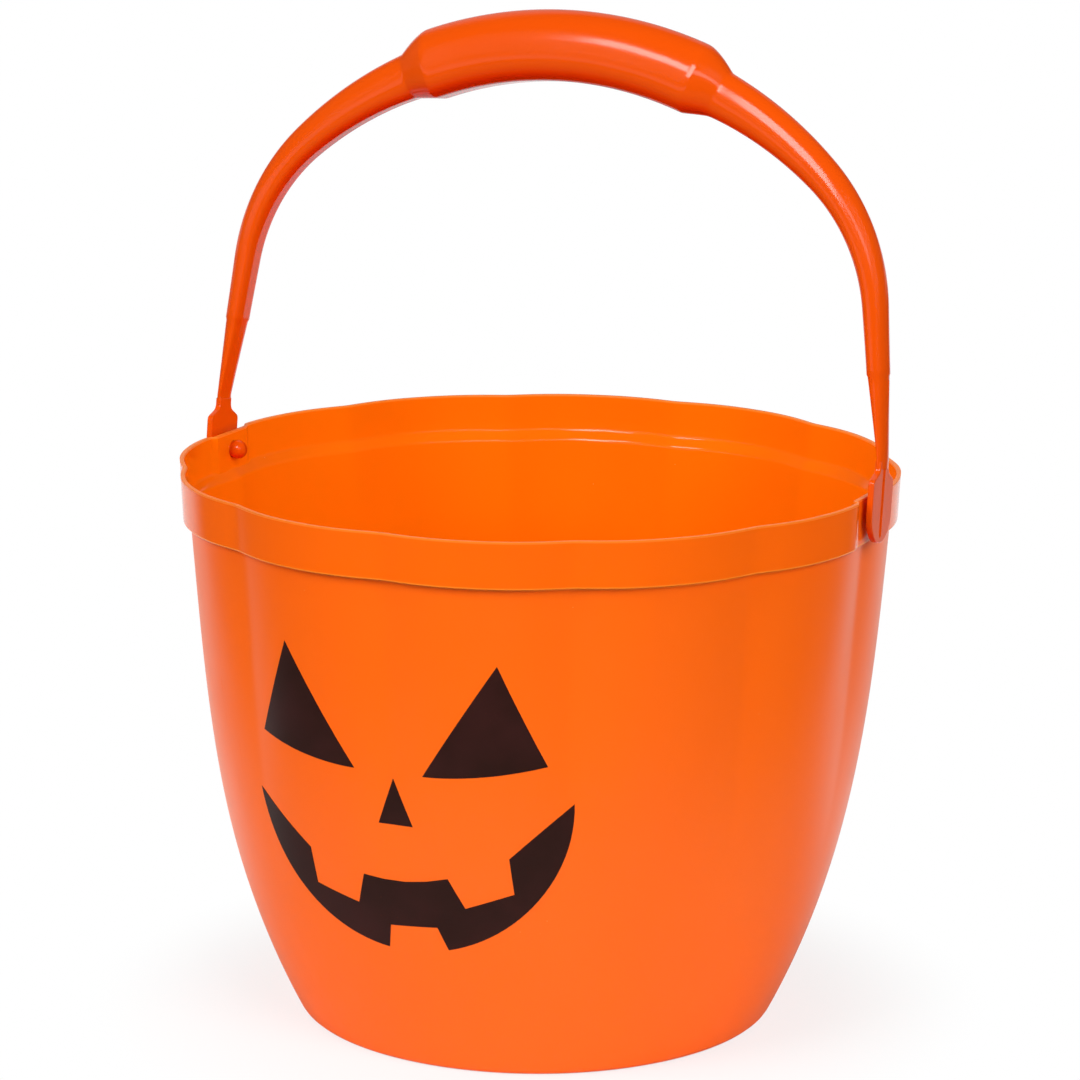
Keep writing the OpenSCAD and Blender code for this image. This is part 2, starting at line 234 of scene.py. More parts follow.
floor_surface = floor_shader.add("ShaderNodeMixShader", inputs={0: white, 1: lit, 2: glow})
floor_shader.add("ShaderNodeOutputMaterial", inputs={"Surface": floor_surface})
floor.data.materials.append(floor_shader.owner)

room = Shader(bpy.data.worlds.new("room"))
scene.world = room.owner
direction = room.add("ShaderNodeTexCoord", out="Generated")
behind = room.dot(direction, away)
above = room.height(direction)
mirror = room.add("ShaderNodeLightPath", out="Is Glossy Ray")
turned = behind - mirror * mirror_turn
lit_height = 1 - room.ramp(above, *room_top)
beside = room.math("ABSOLUTE", room.dot(direction, sideways))
aside = room.ramp(beside, *mirror_side) * room.ramp(above, *mirror_side_height)
mirror_height = 1 - room.ramp(above, *mirror_dim_height) * mirror_dim
mirror_height = mirror_height * (1 - room.ramp(above, *mirror_top)) * (1 - aside)
backs = room.ramp(turned, *room_turn) * (mirror * (mirror_height - lit_height) + lit_height)
front = mirror * (mirror_front - room_front) + room_front
seen_room = room.add("ShaderNodeLightPath", out="Is Camera Ray")
seen_room = seen_room + room.add("ShaderNodeLightPath", out="Is Transmission Ray")
room_level = room.math("MAXIMUM", backs * (room_back - front) + front, seen_room)
sky = room.add("ShaderNodeBackground", inputs={"Color": white_light, "Strength": room_level})
room.add("ShaderNodeOutputWorld", inputs={"Surface": sky})

for number, (start, end, width, brightness) in enumerate(streaks):
    length = (end - start).length
    streak = softbox(f"streak_lamp_{number}", (start + end) / 2, length, width, brightness)
    along = streak.matrix_world.to_3x3().inverted() @ (end - start)
    streak.matrix_world = streak.matrix_world @ Matrix.Rotation(math.atan2(along.y, along.x), 4, "Z")
    streak.visible_diffuse = False
for side, place in zip(("left", "right"), lamp_places):
    lamp = softbox(side + "_lamp", place, lamp_size, lamp_size, lamp_level)
    lamp.visible_glossy = False

# The pail
# One injection moulding in bright orange polypropylene. The wall is round at the foot and grows
# twelve lobes towards the rim, under a wider band with a flat seat behind each end of the handle.
pail_height = 172 * MM
base_radius = 73.5 * MM
base_corner = 2.5 * MM
foot_width = 4 * MM
foot_recess = 1.2 * MM
foot_edge = 0.5 * MM
wall = 1.6 * MM
rim_wall = 1.4 * MM
floor_top = 3.2 * MM
floor_corner = 3 * MM
floor_middle = 1 * MM
band_height = 14.1 * MM
band_jog = 2.2 * MM
band_flare = 0.7 * MM
band_edge = 0.45 * MM
jog_corner = 0.7 * MM
ledge_corner = 0.8 * MM
rim_radius = 111 * MM
wall_bulge = 22.7 * MM
bulge_power = 3.08
lobes = 12
lobe_depth = 2.27 * MM
lobe_start = 40 * MM
lobe_full = 150 * MM
valley_power = 1.3
crease_soft = 0.09
columns = 480
seat_half = 11.5 * MM
seat_x = 108.0 * MM
seat_edge = 1.4 * MM
seat_rear_edge = 3 * seat_edge
hole_radius = 2.7 * MM
hole_sides = 64
hinge = Vector(frame["joints"][0]["pos_m"])

band_low = pail_height - band_height
band_bottom = band_low - 0.01 * MM
band_radius = rim_radius - band_flare
body_top = band_radius - band_jog
jog_start = body_top + 0.2 * MM
wall_draft = body_top - base_radius - wall_bulge
foot_in = base_radius - base_corner - foot_width
ledge_drop = wall * 0.3
ledge_rise = wall * 1.5
seat_inner = seat_x - rim_wall
angles = np.arange(columns) * 2 * math.pi / columns


def smooth_step(u):
    u = np.clip(u, 0, 1)
    return u * u * (3 - 2 * u)


def valley_share(a):
    """1 at the bottom of a valley, 0 on a lobe's crest; the crease itself is a little round."""
    side = np.abs(np.sin(lobes / 2 * a))
    crease = np.hypot(side, crease_soft) - crease_soft * (1 - side**2)
    return np.clip(1 - crease, 0, 1) ** valley_power


def wall_radius(z):
    u = min(1, z / band_low)
    return base_radius + wall_draft * u + wall_bulge * (1 - (1 - u) ** bulge_power)


def lobed(radius, z, a):
    grown = smooth_step((z - lobe_start) / (lobe_full - lobe_start))
    return radius - lobe_depth * grown * valley_share(a)


def rounded(corners, steps=4, most=0.48):
    """Points of a line whose corners are rounded; each corner is (across, up, radius), and the
    rounding takes the given share of each side at most."""
    line = []
    last = len(corners) - 1
    for i, (x, z, radius) in enumerate(corners):
        here = np.array((x, z))
        if radius == 0 or i in (0, last):
            line.append(here)
            continue
        before = np.array(corners[i - 1][:2]) - here
        after = np.array(corners[i + 1][:2]) - here
        reach = min(radius, most * np.linalg.norm(before), most * np.linalg.norm(after))
        start = here + before / np.linalg.norm(before) * reach
        end = here + after / np.linalg.norm(after) * reach
        for k in range(steps + 1):
            t = k / steps
            line.append(start * (1 - t) ** 2 + here * 2 * t * (1 - t) + end * t * t)
    return line


def between(a, b, count):
    """Evenly spaced values from a to b, both ends left out."""
    return [a + (b - a) * (i + 1) / (count + 1) for i in range(count)]


def ring_mesh(name, rows):
    """A skin over rows of points that run round a piece, closed with a cap at both ends."""
    count = len(rows[0])
    faces = []
    for i in range(len(rows) - 1):
        for k in range(count):
            n = (k + 1) % count
            faces.append((i * count + k, i * count + n, (i + 1) * count + n, (i + 1) * count + k))
    faces.append(tuple(reversed(range(count))))
    faces.append(tuple(range((len(rows) - 1) * count, len(rows) * count)))
    return flat_mesh(name, np.concatenate(rows), faces)


def pail_row(radius, z, seat_face):
    """One row round the pail. In the band it is drawn in to the flat seats at seat_face, with a
    sharper bend at the front end than at the rear; 0 leaves the seats out."""
    r = lobed(radius, z, angles)
    x, y = r * np.cos(angles), r * np.sin(angles)
    if seat_face:
        bend = np.where(y > 0, seat_rear_edge, seat_edge)
        reach = seat_half if seat_face == seat_x else seat_half - seat_edge / 2
        share = smooth_step((reach - np.abs(y)) / bend + 0.5)
        x = x + share * (np.sign(x) * np.minimum(np.abs(x), seat_face) - x)
    return np.stack([x, y, np.full(columns, z)], 1)


def cut(piece, tool, operation="DIFFERENCE"):
    """Cuts or joins a closed tool into a piece, and takes the tool away."""
    step = piece.modifiers.new("cut", "BOOLEAN")
    step.operation = operation
    step.solver = "EXACT"
    step.object = tool
    solid = piece.evaluated_get(bpy.context.evaluated_depsgraph_get())
    mesh = bpy.data.meshes.new_from_object(solid)
    piece.modifiers.clear()
    piece.data = mesh
    bpy.data.objects.remove(tool)


def smooth(piece, crease_degrees):
    """Smooth shading with sharp creases, led by the larger faces so that flat ones stay flat."""
    piece.data.shade_smooth()
    piece.data.set_sharp_from_angle(angle=math.radians(crease_degrees))
    weighted = piece.modifiers.new("weighted", "WEIGHTED_NORMAL")
    weighted.keep_sharp = True
    solid = piece.evaluated_get(bpy.context.evaluated_depsgraph_get())
    mesh = bpy.data.meshes.new_from_object(solid)
    piece.modifiers.clear()
    piece.data = mesh


rim_inside = rim_radius - rim_wall
floor_outer = wall_radius(floor_top) - wall
foot_steps = between(floor_middle, foot_in, 8)
wall_steps = between(base_corner * 1.2, band_low - 1 * MM, 60)
band_steps = between(0.06, 0.94, 5)
rim_steps = between(0.06, 0.78, 4)
inside_steps = between(band_low - 3 * MM, floor_top + floor_corner, 50)
floor_steps = between(floor_outer - floor_corner, floor_middle, 10)
outside = rounded([
    (floor_middle, foot_recess, 0),
    *[(r, foot_recess, 0) for r in foot_steps],
    (foot_in, foot_recess, foot_edge),
    (foot_in, 0, foot_edge),
    (base_radius, 0, base_corner),
    *[(wall_radius(z), z, 0) for z in wall_steps],
    (body_top, band_low, jog_corner),
    (band_radius, band_low, band_edge),
    *[(band_radius + band_flare * u, band_low + band_height * u, 0) for u in band_steps],
    (rim_radius, pail_height, band_edge),
])
inside = rounded([
    (rim_radius, pail_height, 0),
    (rim_inside, pail_height, band_edge),
    *[(rim_inside - band_flare * u, pail_height - band_height * u, 0) for u in rim_steps],
    (band_radius - rim_wall, band_low + ledge_rise, ledge_corner),
    (body_top - wall, band_low - ledge_drop, ledge_corner),
    *[(wall_radius(z) - wall, z, 0) for z in inside_steps],
    (floor_outer, floor_top, floor_corner),
    *[(r, floor_top, 0) for r in floor_steps],
    (floor_middle, floor_top, 0),
])
pail_rows = []
for r, z in outside:
    in_band = z > band_bottom and r > jog_start
    pail_rows.append(pail_row(r, z, seat_x if in_band else 0))
pail_rows += [pail_row(r, z, seat_inner if z > band_bottom else 0) for r, z in inside[1:]]
pail = ring_mesh("pail", pail_rows)

hole_reach = rim_radius * 1.1
hole_rows = []
for side in (-1, 1):
    for k in range(hole_sides):
        a = 2 * math.pi * (k + 0.5) / hole_sides
        up = hinge.z + hole_radius * math.sin(a)
        hole_rows.append((side * hole_reach, hole_radius * math.cos(a), up))
hole_faces = [
    (k, (k + 1) % hole_sides, hole_sides + (k + 1) % hole_sides, hole_sides + k)
    for k in range(hole_sides)
]
hole_faces.append(tuple(reversed(range(hole_sides))))
hole_faces.append(tuple(range(hole_sides, 2 * hole_sides)))
hole_tool = flat_mesh("hole_tool", hole_rows, hole_faces)

pail_colour = (0.97, 0.134, 0.001, 1)
pail_deep = (0.94, 0.118, 0.0007, 1)
# Painted glow: the inside is painted a lighter, yellower orange than the outside, standing in for light
# that comes through the thin wall.
inside_glow_colour = (0.95, 0.165, 0.001, 1)
inside_glow_deep = (0.9, 0.138, 0.0007, 1)
pail_gloss = 0.14
pail_satin = 0.34
inside_gloss = 0.1
pail_wave = 30 * MM
plastic_ior = 1.49
plastic_shine = 0.34
cloud_size, cloud_stretch = 50 * MM, (1, 1, 0.45)
cloud_edge, cloud_share = (0.35, 0.7), 0.35
# Painted highlight: a paler orange along the top of the rim's lip, where the rounded lip catches the
# light; the lip is also made rougher.
lip_highlight_colour = (1.0, 0.26, 0.02, 1)
lip_edge = (pail_height - 0.9 * MM, pail_height - 0.2 * MM)
lip_highlight_share, lip_rough = 0.6, 0.35
# Painted glow: a paler orange just under and at the foot of the band, put in place of the crevice's
# shade.
crevice_glow_colour = (1.0, 0.3, 0.02, 1)
crevice_low = (band_low - 1.2 * MM, band_low - 0.2 * MM)
crevice_high = (band_low + 0.3 * MM, band_low + 0.8 * MM)
crevice_glow_share = 0.6
satin_edge = (band_low - 1 * MM, band_low)
dust_colour = (1.0, 0.42, 0.16, 1)
dust_cell, dust_edge = 6 * MM, (0.018, 0.04)
dust_patch, dust_rare = 18 * MM, (0.56, 0.66)
dust_share, dust_rise = 0.5, 0.04
smudge_size, smudge_stretch = 30 * MM, (1, 1, 0.6)
smudge_edge, smudge_rough = (0.4, 0.75), 0.06
scuff_size, scuff_stretch = 1.2 * MM, (1, 1, 0.06)
scuff_edge, scuff_rough = (0.62, 0.72), 0.08
wave_rise = 0.8
grain_size, grain_rise = 1.6 * MM, 0.02
skin_depth = 0.16 * MM


def object_place(shader, stretch=(1, 1, 1)):
    place = shader.add("ShaderNodeTexCoord", out="Object")
    return shader.add("ShaderNodeMapping", inputs={"Vector": place, "Scale": stretch})


def noise(shader, size, stretch=(1, 1, 1), detail=3.0, seed=0.0):
    """Cloudy noise whose patches are about size across, in metres."""
    return shader.add(
        "ShaderNodeTexNoise",
        {"noise_dimensions": "4D"},
        {
            "Vector": object_place(shader, stretch),
            "W": seed,
            "Scale": 1 / size,
            "Detail": detail,
            "Roughness": 0.5,
        },
    )


def specks(shader, cell, edge):
    """A round speck in each cell, which fades out over an edge given in cells."""
    cells = shader.add("ShaderNodeTexVoronoi", inputs={"Vector": object_place(shader), "Scale": 1 / cell})
    return 1 - shader.ramp(cells, *edge)


def moulded(name, colour, deep, gloss, wave, satin=None, under=None):
    """Glossy moulded plastic with faint flow clouds, dust, hairline scuffs and an uneven skin.
    With satin, the wall is duller below the band and gets a painted glow, a paler orange, in the
    crevice under the band. With under, the faces that look down have that colour as painted shade,
    a deeper red standing in for the shade under the handle lit red through its thick plastic;
    without it, the rim's lip gets a painted highlight in a paler orange."""
    shader = Shader(bpy.data.materials.new(name))
    clouds = shader.ramp(noise(shader, cloud_size, cloud_stretch), *cloud_edge)
    body = shader.mix(clouds * cloud_share, colour, deep)
    if under:
        # Painted shade: faces that look down are turned to the under colour, a deeper red.
        upward = shader.height(shader.add("ShaderNodeTexCoord", out="Normal"))
        body = shader.mix(1 - shader.ramp(upward, *underside_shade_edge), body, under)
    else:
        height = shader.height(object_place(shader))
        # Painted highlight on the rim's lip.
        lip = shader.ramp(height, *lip_edge)
        body = shader.mix(lip * lip_highlight_share, body, lip_highlight_colour)
        gloss = lip * lip_rough + gloss
    if satin:
        # Painted glow in the crevice under the band.
        crevice = shader.ramp(height, *crevice_low)
        crevice = crevice * (1 - shader.ramp(height, *crevice_high))
        body = shader.mix(crevice * crevice_glow_share, body, crevice_glow_colour)
        gloss = (1 - shader.ramp(height, *satin_edge)) * (satin - gloss) + gloss
    dust = specks(shader, dust_cell, dust_edge)
    dust = dust * shader.ramp(noise(shader, dust_patch, seed=3.0), *dust_rare)
    body = shader.mix(dust * dust_share, body, dust_colour)
    smudge = shader.ramp(noise(shader, smudge_size, smudge_stretch, seed=5.0), *smudge_edge)
    scuff = shader.ramp(noise(shader, scuff_size, scuff_stretch, detail=2.0, seed=8.0), *scuff_edge)
    scuff = scuff * smudge
    rough = smudge * smudge_rough + scuff * scuff_rough + gloss
    waves = noise(shader, wave, detail=2.0, seed=11.0)
    grain = noise(shader, grain_size, detail=1.0, seed=13.0)
    skin = waves * wave_rise + grain * grain_rise + dust * dust_rise
    bump = shader.add(
        "ShaderNodeBump", inputs={"Strength": 1.0, "Distance": skin_depth, "Height": skin}
    )
    plastic = shader.add(
        "ShaderNodeBsdfPrincipled",
        inputs={
            "Base Color": body,
            "Roughness": rough,
            "Normal": bump,
            "IOR": plastic_ior,
            "Specular IOR Level": plastic_shine,
        },
    )
    shader.add("ShaderNodeOutputMaterial", inputs={"Surface": plastic})
    return shader.owner


pail.data.materials.append(
    moulded("pail_outside", pail_colour, pail_deep, pail_gloss, pail_wave, satin=pail_satin)
)
# The inside material carries the painted glow colours.
pail.data.materials.append(
    moulded("pail_inside", inside_glow_colour, inside_glow_deep, inside_gloss, pail_wave)
)
outside_faces = (len(outside) - 1) * columns
for k, face in enumerate(pail.data.polygons):
    face.material_index = int(k >= outside_faces)
cut(pail, hole_tool)
smooth(pail, crease_degrees=40)
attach(pail, "pail")
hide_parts("pail_shell")

# The face
# Four patches of brown-black ink, pad-printed on the front of the wall: a traditional
# jack-o'-lantern grin. Each is a film that follows the wall.
ink_height = 0.1 * MM
ink_sink = 0.06 * MM
ink_cell = 2 * MM
eyes_middle = -0.8 * MM
eye_low = 99.4 * MM
eye_width = 35.3 * MM
eye_height = 35.2 * MM
eye_space = 22 * MM
eye_rise = eye_height * 0.136
eye_bow = eye_height * 0.03
eye_peak = 0.66
nose_middle = 0.6 * MM
nose_low = 83.2 * MM
nose_width = 11 * MM
nose_height = 14.4 * MM
mouth_middle = 0.4 * MM
mouth_low = 88.7 * MM
mouth_radius = 51.6 * MM
mouth_turn = math.radians(4.2)
curve_steps = 24

# The mouth's sizes, in mouth radii: its lower edge is an arc whose middle is lifted, from the
# corner of the mouth to the edge of the lower tooth gap; the upper edge goes round the teeth.
mouth_lift = 0.1
gap_half = 0.186
gap_corner = (0.147, -0.738)
upper_middle = (0, -0.457)
upper_tooth = ((0.132, -0.448), (0.264, -0.427), (0.335, -0.613))
upper_corner = ((0.6213, -0.528), (0.628, -0.307))


def eye_outline(side):
    inner = eye_space / 2
    bow = []
    for i in range(curve_steps + 1):
        u = i / curve_steps
        bow.append((inner + eye_width * u, eye_rise * u - 4 * eye_bow * u * (1 - u)))
    bow.append((inner + eye_width * eye_peak, eye_height))
    return [(eyes_middle + side * x, eye_low + z) for x, z in bow]


def mouth_outline():
    first = -math.asin(mouth_lift)
    last = -math.acos(gap_half)
    lower = []
    for i in range(curve_steps + 1):
        a = first + (last - first) * i / curve_steps
        lower.append((math.cos(a), mouth_lift + math.sin(a)))
    half = [upper_middle, *upper_tooth, *upper_corner, *lower, gap_corner]
    turn_c, turn_s = math.cos(mouth_turn), math.sin(mouth_turn)
    outline = []
    for x, z in half + [(-x, z) for x, z in reversed(half[1:])]:
        along, up = x * turn_c - z * turn_s, x * turn_s + z * turn_c
        outline.append((mouth_middle + mouth_radius * along, mouth_low + mouth_radius * up))
    return outline


def on_wall(x, z, out, rounds=12):
    """The point straight behind (x, z) on the front of the wall, moved outwards."""
    a = -math.pi / 2
    for _ in range(rounds):
        r = float(lobed(wall_radius(z), z, a)) + out
        a = -math.acos(max(-1, min(1, x / r)))
    return Vector((r * math.cos(a), r * math.sin(a), z))


def printed(name, outline):
    """A film with the outline's shape, cut into small cells and laid on the wall."""
    film = bmesh.new()
    film.faces.new([film.verts.new((x, 0, z)) for x, z in outline])
    low_x, high_x = min(p[0] for p in outline), max(p[0] for p in outline)
    low_z, high_z = min(p[1] for p in outline), max(p[1] for p in outline)
    cuts = [((x, 0, 0), (1, 0, 0)) for x in np.arange(low_x + ink_cell / 2, high_x, ink_cell)]
    cuts += [((0, 0, z), (0, 0, 1)) for z in np.arange(low_z + ink_cell / 2, high_z, ink_cell)]
    for place, normal in cuts:
        whole = film.verts[:] + film.edges[:] + film.faces[:]
        bmesh.ops.bisect_plane(film, geom=whole, plane_co=place, plane_no=normal)
    flat = [v.co.copy() for v in film.verts]
    backs = {v: film.verts.new(v.co) for v in film.verts[:]}
    fronts = film.faces[:]
    rims = [e for e in film.edges if e.is_boundary]
    for face in fronts:
        film.faces.new([backs[v] for v in reversed(face.verts)])
    for e in rims:
        a, b = e.verts
        film.faces.new((b, a, backs[a], backs[b]))
    for (front_point, back_point), co in zip(list(backs.items()), flat):
        front_point.co = on_wall(co.x, co.z, ink_height)
        back_point.co = on_wall(co.x, co.z, -ink_sink)
    bmesh.ops.recalc_face_normals(film, faces=film.faces)
    mesh = bpy.data.meshes.new(name)
    film.to_mesh(mesh)
    film.free()
    patch = bpy.data.objects.new(name, mesh)
    scene.collection.objects.link(patch)
    smooth(patch, crease_degrees=40)
    return patch


ink_colour = (0.024, 0.0075, 0.0055, 1)
ink_thin = (0.036, 0.0095, 0.008, 1)
ink_cloud, ink_cloud_edge = 20 * MM, (0.35, 0.7)
speck_colour = (0.20, 0.03, 0.012, 1)
speck_cell, speck_edge = 1.6 * MM, (0.05, 0.14)
speck_patch, speck_rare = 6 * MM, (0.55, 0.7)
speck_share = 0.5
ink_rough, ink_cloud_rough = 0.3, 0.08
ink_grain, ink_bump, ink_depth = 0.8 * MM, 0.5, 0.02 * MM
ink_ior, ink_shine = 1.45, 0.2


def ink(name):
    """Satin ink with a faint speckle where the wall shows through."""
    shader = Shader(bpy.data.materials.new(name))
    clouds = shader.ramp(noise(shader, ink_cloud, detail=4.0), *ink_cloud_edge)
    colour = shader.mix(clouds, ink_colour, ink_thin)
    speck = specks(shader, speck_cell, speck_edge)
    speck = speck * shader.ramp(noise(shader, speck_patch, seed=2.0), *speck_rare)
    colour = shader.mix(speck * speck_share, colour, speck_colour)
    rough = clouds * ink_cloud_rough + ink_rough
    grain = noise(shader, ink_grain, detail=2.0)
    bump = shader.add(
        "ShaderNodeBump", inputs={"Strength": ink_bump, "Distance": ink_depth, "Height": grain}
    )
    film = shader.add(
        "ShaderNodeBsdfPrincipled",
        inputs={
            "Base Color": colour,
            "Roughness": rough,
            "Normal": bump,
            "IOR": ink_ior,
            "Specular IOR Level": ink_shine,
        },
    )
    shader.add("ShaderNodeOutputMaterial", inputs={"Surface": film})
    return shader.owner


face_ink = ink("face_ink")
nose_outline = [
    (nose_middle - nose_width / 2, nose_low),
    (nose_middle + nose_width / 2, nose_low),
    (nose_middle, nose_low + nose_height),
]
for name, outline in (
    ("left_eye", eye_outline(-1)),
    ("right_eye", eye_outline(1)),
    ("nose", nose_outline),
    ("mouth", mouth_outline()),
):
    patch = printed(name + "_print", outline)
    patch.data.materials.append(face_ink)
    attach(patch, "pail")
    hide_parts(name)

# The handle
# One moulding in the same orange: a thick grip with a shoulder at each end, two arms that taper
# to a flat strap, and an ear with a rib and a split ball peg that snaps into the band's hole.
handle_lean = math.radians(8)
arch_height = 132.5 * MM
crown_radius = 127 * MM
haunch_radius = 62 * MM
leg_lean = math.radians(7)
grip_length = 98 * MM
grip_t, grip_w = 22.2 * MM, 18 * MM
arm_top_t, arm_top_w = 14.8 * MM, 11 * MM
arm_low_t, arm_low_w = 6.5 * MM, 9.4 * MM
strap_top_t, strap_top_w = arm_low_t * 0.93, arm_low_w * 0.94
ear_radius = 8.5 * MM
ear_t = 1.9 * MM
ear_edge = 0.35 * MM
ear_steps = 32
strap_w = 7 * MM
strap_low_out, strap_low_t, strap_low_w = ear_t * 1.6, ear_t * 0.96, strap_w * 1.08
ear_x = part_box("handle")[1].x - ear_t * 1.3
face_x = ear_x + ear_t
ear_middle = ear_x + ear_t / 2
leg_start = ear_radius * 2
strap_length = ear_radius * 2.9
seam_length = ear_t * 0.4
shoulder_length = (grip_t - arm_top_t) * 1.28
inner_shoulder = shoulder_length * 0.85
shoulder_bend = 0.06
inner_shoulder_bend = 0.08
arm_drop = arm_top_t * 0.06
outer_share = 0.62
inner_power = 0.8
flat_share = 0.95
taper_power = 1.25
section_points = 72

crown_middle = arch_height - crown_radius
bend_gap = crown_radius - haunch_radius
leg_offset = ear_middle * math.cos(leg_lean) + leg_start * math.sin(leg_lean)
leg_inset = leg_offset - haunch_radius - crown_middle * math.sin(leg_lean)
crown_sweep = math.asin(leg_inset / bend_gap) - leg_lean
haunch_sweep = math.pi / 2 - crown_sweep - leg_lean
haunch_middle = np.array(
    (bend_gap * math.sin(crown_sweep), crown_middle + bend_gap * math.cos(crown_sweep))
)
leg_top = haunch_middle[1] + haunch_radius * math.sin(leg_lean)
leg_length = (leg_top - leg_start) / math.cos(leg_lean)
haunch_length = haunch_radius * haunch_sweep
half_length = leg_length + haunch_length + crown_radius * crown_sweep
shoulder_start = half_length - (grip_length + shoulder_length) / 2


def line_at(s):
    """The centre line's point and outward angle at a length from the leg's start."""
    if s <= 0:
        return np.array((ear_middle, leg_start + s)), 0.0
    if s <= leg_length:
        along = np.array((-math.sin(leg_lean), math.cos(leg_lean)))
        return np.array((ear_middle, leg_start)) + s * along, leg_lean
    if s <= leg_length + haunch_length:
        a = leg_lean + (s - leg_length) / haunch_radius
        return haunch_middle + haunch_radius * np.array((math.cos(a), math.sin(a))), a
    a = math.pi / 2 - crown_sweep + (s - leg_length - haunch_length) / crown_radius
    return np.array((crown_radius * math.cos(a), crown_middle + crown_radius * math.sin(a))), a


def soft_ramp(u, bend):
    """0 before zero and u after it, with a short bend between."""
    return (u + math.hypot(u, bend)) / 2


def climb(s, length, bend):
    """From 0 to 1 over a length after the shoulder's start, with a short bend at both ends."""
    u = (s - shoulder_start) / length
    return soft_ramp(u, bend) - soft_ramp(u - 1, bend)


def size_at(s):
    """(thickness outside, width, thickness inside) at a length from the leg's start."""
    if s <= strap_length:
        u = max(0, s) / strap_length
        return (
            strap_low_out + (strap_top_t - strap_low_out) * u,
            strap_low_w + (strap_top_w - strap_low_w) * u,
            strap_low_t + (strap_top_t - strap_low_t) * u,
        )
    u = min(1, (s - strap_length) / (shoulder_start - strap_length)) ** taper_power
    t, w = arm_low_t + (arm_top_t - arm_low_t) * u, arm_low_w + (arm_top_w - arm_low_w) * u
    outer, inner = t - 2 * arm_drop * u**3, t + 2 * arm_drop * u**3
    steady = climb(s, shoulder_length, shoulder_bend)
    rise = (steady + math.sin(math.pi / 2 * steady)) / 2
    lift = climb(s, inner_shoulder, inner_shoulder_bend)
    return (
        outer + (grip_t - outer) * rise,
        w + (grip_w - w) * (rise + lift) / 2,
        inner + (grip_t - inner) * lift,
    )


def section(outer, width, inner):
    """An oval with a narrow flat inside."""
    middle = outer * (0.5 - outer_share)
    outline = []
    for k in range(section_points):
        a = 2 * math.pi * (k + 0.5) / section_points
        c, s = math.cos(a), math.sin(a)
        if c > 0:
            outline.append((middle + outer * outer_share * c, width / 2 * s))
        else:
            inward = (inner / 2 + middle) * min(flat_share, (-c) ** inner_power)
            outline.append((middle - inward, width / 2 * math.copysign(abs(s) ** inner_power, s)))
    return outline


def near(s, reach, count):
    """Lengths on both sides of s, closer together than the rest, where the arch bends most."""
    return [s + reach * (i / count) for i in range(-count, count + 1)]


root_start = -0.2 * leg_start
seam_start = strap_length - seam_length
seam_end = strap_length + 0.05 * MM
shoulder_end = shoulder_start + shoulder_length
micrometre_digits = 6
lengths = sorted({
    round(s, micrometre_digits)
    for s in (
        [root_start, 0.0]
        + between(0, seam_start, 10)
        + [seam_start, seam_end]
        + between(strap_length, shoulder_start, 90)
        + near(shoulder_start, 1.2 * MM, 4)
        + near(shoulder_end, 1.6 * MM, 4)
        + between(shoulder_start, shoulder_end, 6)
        + between(shoulder_end, half_length, 24)
        + [half_length]
    )
})
half_rows = []
for s in lengths:
    (x, z), a = line_at(s)
    half_rows.append([
        (x + outward * math.cos(a), y, z + outward * math.sin(a))
        for outward, y in section(*size_at(s))
    ])
arch_rows = half_rows + [[(-x, y, z) for x, y, z in row] for row in reversed(half_rows[:-1])]
handle = ring_mesh("carrying_handle", [np.array(row) for row in arch_rows])


def slab(name, outline, low, high, across, up, along, soften=0.0):
    """A flat plate with the outline (across, up), from low to high along the third axis."""
    plate = bmesh.new()
    turn = Matrix((across, up, along)).transposed()
    front = [plate.verts.new(turn @ Vector((x, z, high))) for x, z in outline]
    back = [plate.verts.new(turn @ Vector((x, z, low))) for x, z in outline]
    plate.faces.new(front)
    plate.faces.new(list(reversed(back)))
    count = len(outline)
    for k in range(count):
        n = (k + 1) % count
        plate.faces.new((front[k], back[k], back[n], front[n]))
    bmesh.ops.recalc_face_normals(plate, faces=plate.faces)
    if soften:
        plate.edges.ensure_lookup_table()
        rims = [
            e for e in plate.edges
            if all(v in front for v in e.verts) or all(v in back for v in e.verts)
        ]
        bmesh.ops.bevel(plate, geom=rims, offset=soften, segments=3, profile=0.5, affect="EDGES")
    mesh = bpy.data.meshes.new(name)
    plate.to_mesh(mesh)
    plate.free()
    piece = bpy.data.objects.new(name, mesh)
    scene.collection.objects.link(piece)
    return piece


axis_y, axis_z = Vector((0, 1, 0)), Vector((0, 0, 1))
ear_top = ear_radius * 1.2
ear_slope = strap_w * 0.35
stub_top = ear_radius * 1.88
ear_side = [tuple(p) for p in rounded([
    (ear_radius, 0, 0),
    (ear_radius, ear_top, 1.2 * MM),
    (strap_w / 2, ear_top + ear_slope, 1.6 * MM),
    (strap_w / 2, stub_top, 0),
])]
ear_round = []
for i in range(ear_steps):
    a = -math.pi * (i + 1) / (ear_steps + 1)
    ear_round.append((ear_radius * math.cos(a), ear_radius * math.sin(a)))
ear_outline = ear_side + [(-x, z) for x, z in reversed(ear_side)] + list(reversed(ear_round))

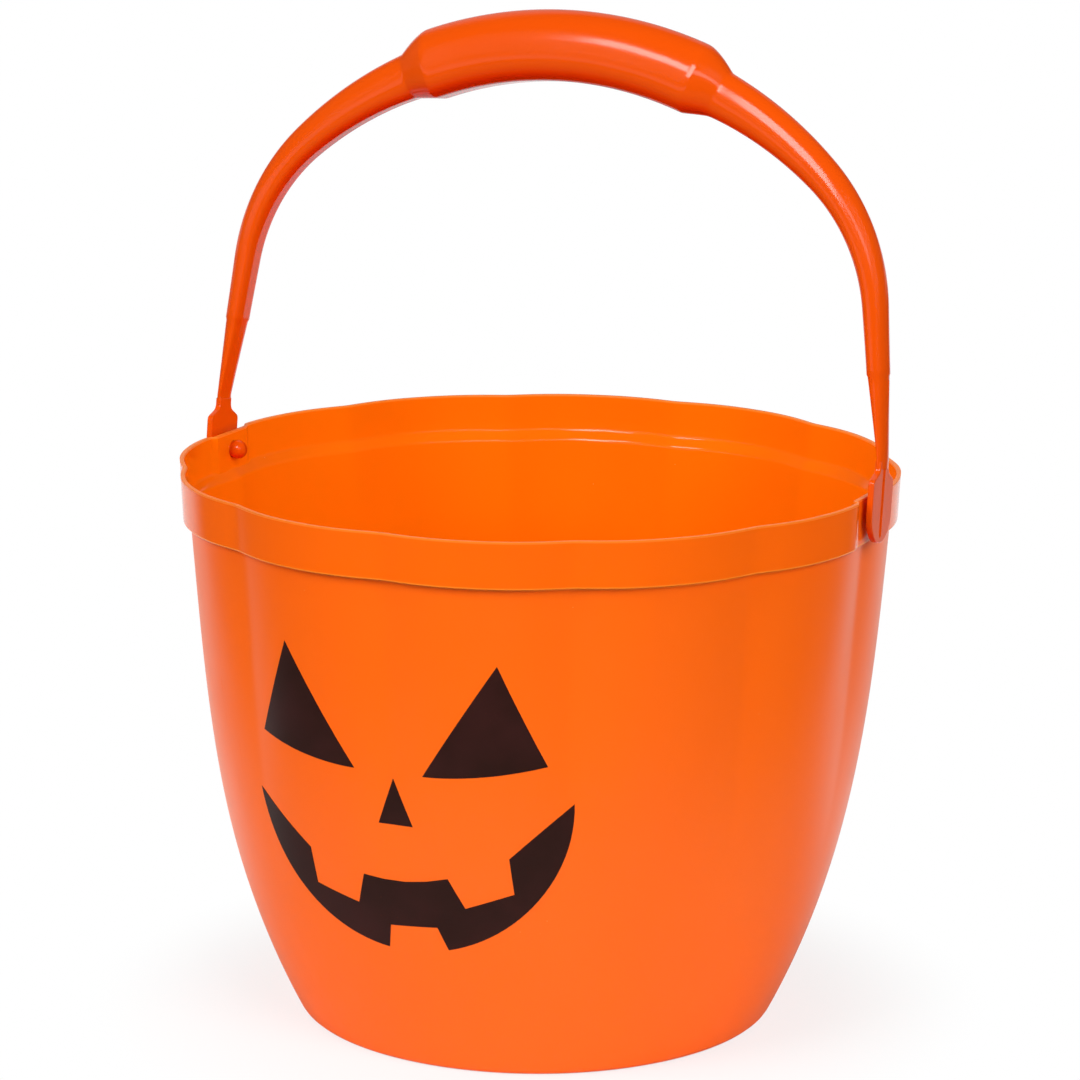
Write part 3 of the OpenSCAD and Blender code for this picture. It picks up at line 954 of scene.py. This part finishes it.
rib_w = ear_t * 0.55
rib_h = ear_t * 0.2
rib_edge = 0.25 * MM
rib_low = -ear_radius * 0.85
rib_rise = -ear_radius * 0.72
rib_length = strap_length * 0.92
rib_end, rib_turn = line_at(rib_length)
rib_lift = size_at(rib_length)[0] / 2 + rib_h / 2
rib_outline = [
    (ear_middle, rib_low),
    (face_x, rib_low),
    (face_x + rib_h, rib_rise),
    (face_x + rib_h, leg_start),
    tuple(rib_end + rib_lift * np.array((math.cos(rib_turn), math.sin(rib_turn)))),
    tuple(rib_end),
    (ear_middle, leg_start),
]

neck_radius = hole_radius - 0.1 * MM
head_radius = hole_radius + 0.3 * MM
head_x = seat_inner - head_radius * 0.6
slot_half = 0.5 * MM
slot_start = head_x - 2 * head_radius
slot_end = seat_inner - 0.1 * MM
slot_outline = [
    (slot_start, -2 * head_radius),
    (slot_end, -2 * head_radius),
    (slot_end, 2 * head_radius),
    (slot_start, 2 * head_radius),
]
ball_steps = 20
peg_sides = 48
peg_angles = [2 * math.pi * k / peg_sides for k in range(peg_sides)]
ball_end = math.asin(neck_radius / head_radius)
peg_profile = []
for i in range(1, ball_steps + 1):
    a = (math.pi - ball_end) * i / ball_steps
    peg_profile.append((head_x - head_radius * math.cos(a), head_radius * math.sin(a)))
peg_profile.append((ear_middle, neck_radius))

for side in (-1, 1):
    out = Vector((side, 0, 0))
    ear = slab("ear", ear_outline, ear_x, face_x, axis_y, axis_z, out, ear_edge)
    cut(handle, ear, "UNION")
    rib = slab("rib", rib_outline, -rib_w / 2, rib_w / 2, out, axis_z, axis_y, rib_edge)
    cut(handle, rib, "UNION")
    peg_rows = [
        np.array([(side * x, r * math.cos(a), r * math.sin(a)) for a in peg_angles])
        for x, r in peg_profile
    ]
    if side < 0:
        peg_rows.reverse()
    peg = ring_mesh("peg", peg_rows)
    cut(peg, slab("slot", slot_outline, -slot_half, slot_half, out, axis_z, axis_y))
    cut(handle, peg, "UNION")

handle.data.transform(Matrix.Translation(hinge) @ Matrix.Rotation(-handle_lean, 4, "X"))
smooth(handle, crease_degrees=32)

handle_colour = (0.77, 0.077, 0.001, 1)
handle_deep = (0.74, 0.07, 0.0007, 1)
# Painted shade: the faces of the handle that look down are a deeper red, standing in for the shade under
# the handle lit red through its thick plastic.
handle_underside_shade = (0.9, 0.034, 0.0005, 1)
handle_gloss = 0.12
handle_wave = 20 * MM
underside_shade_edge = (-0.75, -0.05)
handle.data.materials.clear()
handle.data.materials.append(
    moulded("handle_plastic", handle_colour, handle_deep, handle_gloss, handle_wave, under=handle_underside_shade)
)
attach(handle, "handle")
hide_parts("handle")
